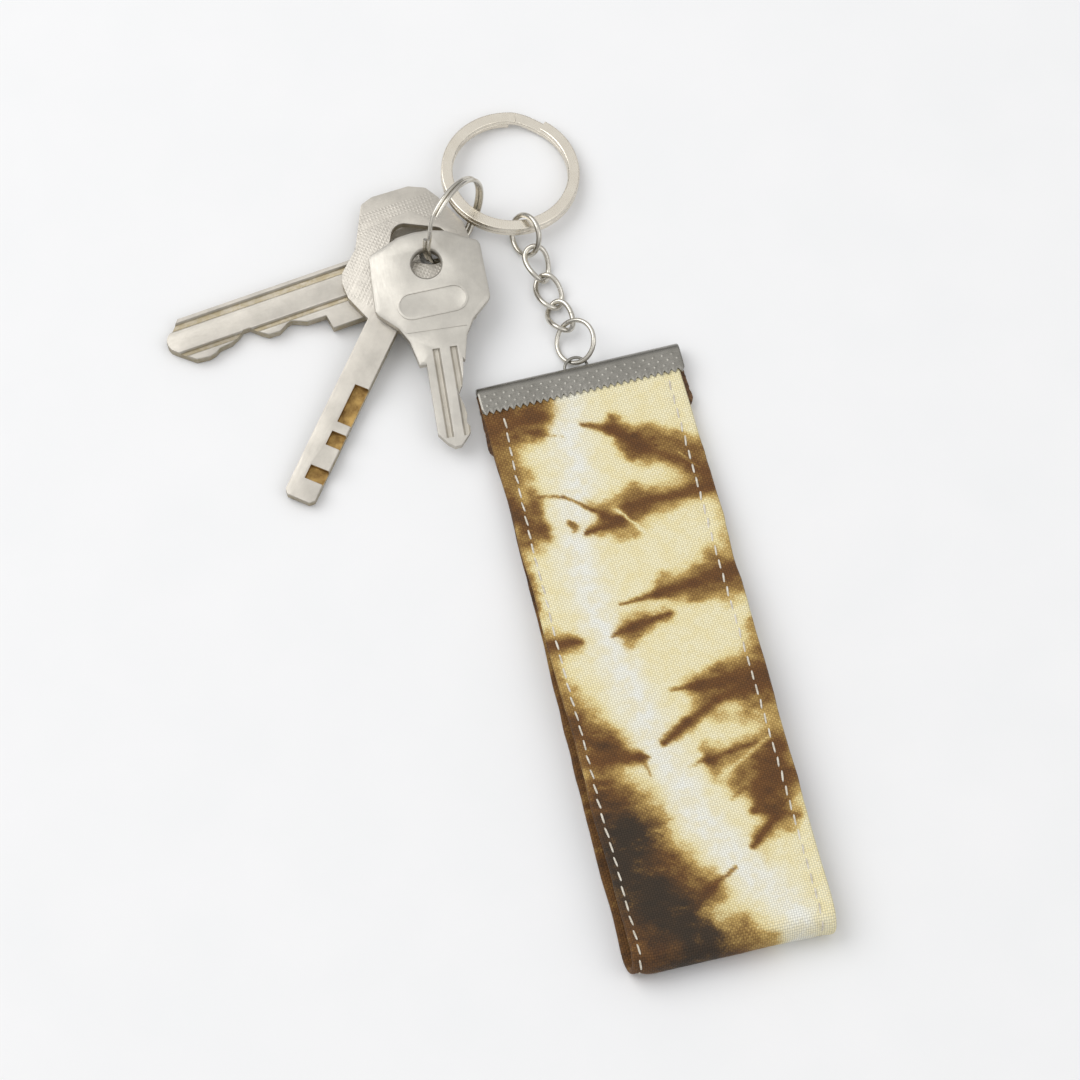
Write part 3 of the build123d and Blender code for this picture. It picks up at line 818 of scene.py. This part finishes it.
def rings():
    """The rings and links are round and fine in CAD already, and only take new materials."""
    nickel = polished("nickel_plate", (0.55, 0.52, 0.46), (0.70, 0.67, 0.60), 0.14, 0.3)
    warm = polished("warm_nickel", (0.76, 0.70, 0.60), (0.82, 0.765, 0.665), 0.22, 0.34, 0.0015)
    links = ("chain_link_3", "chain_link_2", "chain_link_1")
    for name in ("bottom_jump_ring", *links, "top_jump_ring", "key_ring"):
        carried_over(name, nickel)
    carried_over("split_ring", warm)


def carried_over(node, material):
    materials = frame["nodes"][node].data.materials
    materials.clear()
    materials.append(material)


def key_axes(node):
    """A key's own axes, along, across and through it, and the point its ring passes.

    The blade's direction is the one that most of the length of its straight edges shares."""
    joint = next(j for j in frame["joints"] if j["child"] == node)
    through = Vector(joint["axis"]).normalized()
    pivot = Vector(joint["pos_m"])
    mesh = frame["nodes"][node].data
    centre = sum((v.co for v in mesh.vertices), Vector()) / len(mesh.vertices)
    away = centre - pivot
    away -= through * away.dot(through)
    away.normalize()
    side = through.cross(away)
    turns = np.radians(np.arange(-90, 90, 0.25))
    totals = np.zeros(len(turns))
    for edge in mesh.edges:
        start, end = (mesh.vertices[v].co for v in edge.vertices)
        span = end - start
        if span.length < 2 * MM or abs(span.normalized().dot(through)) > 0.05:
            continue
        turn = math.atan(span.dot(side) / (span.dot(away) or 1e-9))
        totals += span.length * (np.abs(turns - turn) < math.radians(0.6))
    best = float(turns[int(np.argmax(totals))])
    along = away * math.cos(best) + side * math.sin(best)
    if along.dot(away) < 0:
        along = -along
    return along.normalized(), through.cross(along).normalized(), through, pivot


def key_copy(name, node, material, bevel_mm):
    """The key's CAD shape with its edges rounded, and its own coordinates kept on the mesh.

    The faces are sorted by their corners, as rounding the edges leaves them in no fixed order."""
    along, across, through, pivot = key_axes(node)
    work = bmesh.new()
    work.from_mesh(frame["nodes"][node].data)
    bmesh.ops.remove_doubles(work, verts=work.verts, dist=2e-6)
    bmesh.ops.dissolve_limit(work, angle_limit=math.radians(2), verts=work.verts, edges=work.edges)
    sharp = [e for e in work.edges if len(e.link_faces) == 2 and e.calc_face_angle(0) > math.radians(30)]
    rounding = {"offset": bevel_mm * MM, "segments": 2, "profile": 0.6, "clamp_overlap": True}
    bmesh.ops.bevel(work, geom=sharp, affect="EDGES", **rounding)
    bmesh.ops.triangulate(work, faces=work.faces, ngon_method="EAR_CLIP")
    work.verts.index_update()
    count = len(work.verts)
    work.faces.sort(key=lambda face: sum(v.index * count**k for k, v in enumerate(face.verts)))
    mesh = bpy.data.meshes.new(name)
    work.to_mesh(mesh)
    work.free()
    piece = add_piece(name, mesh, material, node, 14)
    turn = Matrix((along, across, through))
    own = [(turn @ (v.co - pivot)) / MM for v in mesh.vertices]
    store(mesh, "key", np.array(own), "FLOAT_VECTOR")
    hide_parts(node)
    return piece


KEY_STEEL = (0.58, 0.545, 0.485)
CABINET_STEEL = (0.63, 0.60, 0.54)
# Olive for grime and painted shade below a key's top face
TARNISH_AND_SHADE = (0.30, 0.245, 0.14)


def key_metal(name, tone, top, grime_and_shade, hatch=None):
    """Worn nickel plate: satin, with fine scratches, dull handling marks and grit in the surface.

    Below its top face, in grooves and down its edges, the plate turns olive: partly grime, partly
    painted shade."""
    nodes = Nodes(name)
    place = nodes.attribute("key", "Vector")
    cloud = nodes.noise(place, 0.22, 4.0, 0.65)
    scratch = nodes.noise(nodes.stretched(place, (0.35, 4.0, 1.0)), 1.5, 4.0, 0.7)
    grit = nodes.noise(place, 3.2, 3.0, 0.7)
    dark = tuple(0.8 * c for c in tone)
    colour = nodes.ramp(cloud, [(0.3, dark), (0.7, tone)])
    colour = nodes.mix(nodes.range(grit, 0.6, 0.75, 0.0, 0.5), colour, dark)
    _, _, through = nodes.split(place)
    # Grime and painted shade: walls and grooves below the top face are coloured olive, in patches.
    sunk_grime_and_shade = nodes.range(through, top - 0.55, top - 0.1, grime_and_shade, 0.0)
    patchy = nodes.range(nodes.noise(place, 0.8, 3.0, 0.6), 0.3, 0.65, 0.55, 1.0)
    colour = nodes.mix(nodes.math("MULTIPLY", sunk_grime_and_shade, patchy), colour, TARNISH_AND_SHADE)
    rough = nodes.range(scratch, 0.3, 0.7, 0.36, 0.5)
    height = nodes.math("ADD", nodes.math("MULTIPLY", scratch, 0.3), nodes.math("MULTIPLY", grit, 0.5))
    if hatch:
        height = nodes.math("ADD", height, hatch(nodes, place))
    nodes.set(Base_Color=colour, Metallic=0.75, Roughness=rough)
    nodes.relief(height, 0.05, 0.55)
    return nodes.material


def head_pattern(pitch, start, band, stop, rim):
    """Ridges across the key from start to band, then fine crosshatching to stop, inside a plain rim."""
    def build(nodes, place):
        along, across, _ = nodes.split(place)
        k = 2 * math.pi / pitch
        ribs = nodes.math("SINE", nodes.math("MULTIPLY", across, k * 0.9))
        weft = nodes.math("SINE", nodes.math("MULTIPLY", along, k))
        lower = nodes.range(along, band - 0.2, band + 0.2)
        ridges = nodes.mix(lower, ribs, nodes.math("MAXIMUM", ribs, weft))
        begun = nodes.range(along, start, start + 0.3)
        inside = nodes.math("MULTIPLY", begun, nodes.range(along, stop, stop - 0.3))
        edge = nodes.range(nodes.math("ABSOLUTE", across), rim, rim - 0.4)
        worn = nodes.range(nodes.noise(place, 0.4, 3.0, 0.6), 0.3, 0.65, 0.15, 0.7)
        kept = nodes.math("MULTIPLY", edge, worn)
        return nodes.math("MULTIPLY", nodes.math("MULTIPLY", ridges, inside), kept)
    return build


def shaded_bare_brass():
    """Cut metal where the plating is gone: brass with cutter marks, coloured dark amber-brown with
    painted shade of the cut.
    """
    nodes = Nodes("shaded_bare_brass")
    place = nodes.attribute("key", "Vector")
    cutter = nodes.noise(nodes.stretched(place, (6.0, 0.5, 1.0)), 1.2, 3.0, 0.6)
    cloud = nodes.noise(place, 0.6, 3.0, 0.6)
    # Painted shade: the brass is coloured far darker than bare brass.
    colour = nodes.ramp(cloud, [(0.35, (0.20, 0.11, 0.028)), (0.7, (0.50, 0.32, 0.10))])
    nodes.set(Base_Color=colour, Metallic=0.6, Roughness=nodes.range(cutter, 0.3, 0.7, 0.35, 0.55))
    nodes.relief(cutter, 0.04, 0.6)
    return nodes.material


def cut_brass(piece, inside):
    """Gives the faces whose middles lie inside a box of the key's own coordinates bare brass, darkened
    with painted shade.
    """
    mesh = piece.data
    mesh.materials.append(shaded_bare_brass())
    spots = np.zeros(len(mesh.vertices) * 3, np.float32)
    mesh.attributes["key"].data.foreach_get("vector", spots)
    spots = spots.reshape(-1, 3)
    for face in mesh.polygons:
        middle = spots[list(face.vertices)].mean(axis=0)
        if all(low < value < high for value, (low, high) in zip(middle, inside)):
            face.material_index = 1


def keys():
    house_head = head_pattern(0.62, -5.3, -2.6, 15.0, 13.6)
    slot_head = head_pattern(0.62, -4.5, -4.4, 13.0, 30.0)
    house = key_metal("house_key_nickel", KEY_STEEL, 1.01, 0.85, house_head)
    slot = key_metal("slot_key_nickel", KEY_STEEL, 0.94, 0.85, slot_head)
    cabinet = key_metal("cabinet_key_nickel", CABINET_STEEL, 0.9, 0.3)
    key_copy("house_key_body", "house_key", house, 0.14)
    slotted = key_copy("slot_key_body", "slot_key", slot, 0.14)
    cut_brass(slotted, ((27.0, 49.0), (-4.0, -0.22), (-0.6, 0.86)))
    key_copy("cabinet_key_body", "cabinet_key", cabinet, 0.12)


# ------------------------------------------------------------------ stage
def stage():
    """Pale table, soft overhead light and the camera."""
    add_table(2.0)
    add_sky()
    centre = sum((Vector(c) for c in cad_bounds), Vector()) / 2
    add_area("key_light", centre + Vector((-0.55, 0.45, 0.9)), centre, 1.1, 5.6)
    add_area("fill_light", centre + Vector((0.7, -0.5, 0.9)), centre, 0.9, 1.6)
    add_camera()
    bpy.context.scene.view_settings.view_transform = "Standard"


def add_table(r):
    mesh = bpy.data.meshes.new("table")
    mesh.from_pydata([(-r, -r, 0), (r, -r, 0), (r, r, 0), (-r, r, 0)], [], [(0, 1, 2, 3)])
    table = bpy.data.objects.new("table", mesh)
    bpy.context.scene.collection.objects.link(table)
    nodes = Nodes("table_white")
    speck = nodes.noise(nodes.place(), 0.05, 3.0, 0.5)
    white = nodes.ramp(speck, [(0.3, (0.845, 0.85, 0.855)), (0.7, (0.865, 0.865, 0.87))])
    nodes.set(Base_Color=white, Roughness=0.75)
    mesh.materials.append(nodes.material)


def add_sky():
    """Even studio light, white above and grey from below."""
    world = bpy.data.worlds.new("studio")
    world.use_nodes = True
    bpy.context.scene.world = world
    tree = world.node_tree
    direction = tree.nodes.new("ShaderNodeTexCoord").outputs["Generated"]
    parts = tree.nodes.new("ShaderNodeSeparateXYZ")
    ramp = tree.nodes.new("ShaderNodeValToRGB")
    low, high = ramp.color_ramp.elements
    low.position, low.color = 0.0, (0.22, 0.22, 0.23, 1)
    high.position, high.color = 0.75, (1.0, 1.0, 1.0, 1)
    background = tree.nodes["Background"]
    background.inputs["Strength"].default_value = 0.85
    tree.links.new(direction, parts.inputs[0])
    tree.links.new(parts.outputs["Z"], ramp.inputs["Fac"])
    tree.links.new(ramp.outputs["Color"], background.inputs["Color"])


def add_area(name, place, target, size, power):
    light = bpy.data.lights.new(name, "AREA")
    light.shape = "DISK"
    light.size = size
    light.energy = power
    lamp = bpy.data.objects.new(name, light)
    lamp.location = place
    lamp.rotation_euler = (target - place).to_track_quat("-Z", "Y").to_euler()
    bpy.context.scene.collection.objects.link(lamp)


def add_camera():
    elevation, azimuth = math.radians(VIEW_ELEVATION), math.radians(VIEW_AZIMUTH)
    level = math.cos(elevation)
    back = Vector((math.sin(azimuth) * level, -math.cos(azimuth) * level, math.sin(elevation)))
    target = LAYOUT_ORIGIN + Vector(VIEW_CENTRE) * MM
    camera = bpy.data.cameras.new("camera")
    camera.sensor_width = SENSOR
    camera.lens = SENSOR * VIEW_DISTANCE / VIEW_WIDTH
    camera.clip_start = 0.01
    eye = bpy.data.objects.new("camera", camera)
    eye.location = target + back * VIEW_DISTANCE
    eye.rotation_euler = (-back).to_track_quat("-Z", "Y").to_euler()
    bpy.context.scene.collection.objects.link(eye)
    bpy.context.scene.camera = eye


strap()
end_tab()
thread = thread_material()
stitching("left_topstitches", -1, "stitching_left", thread)
stitching("right_topstitches", 1, "stitching_right", thread)
clamp()
rings()
keys()
stage()
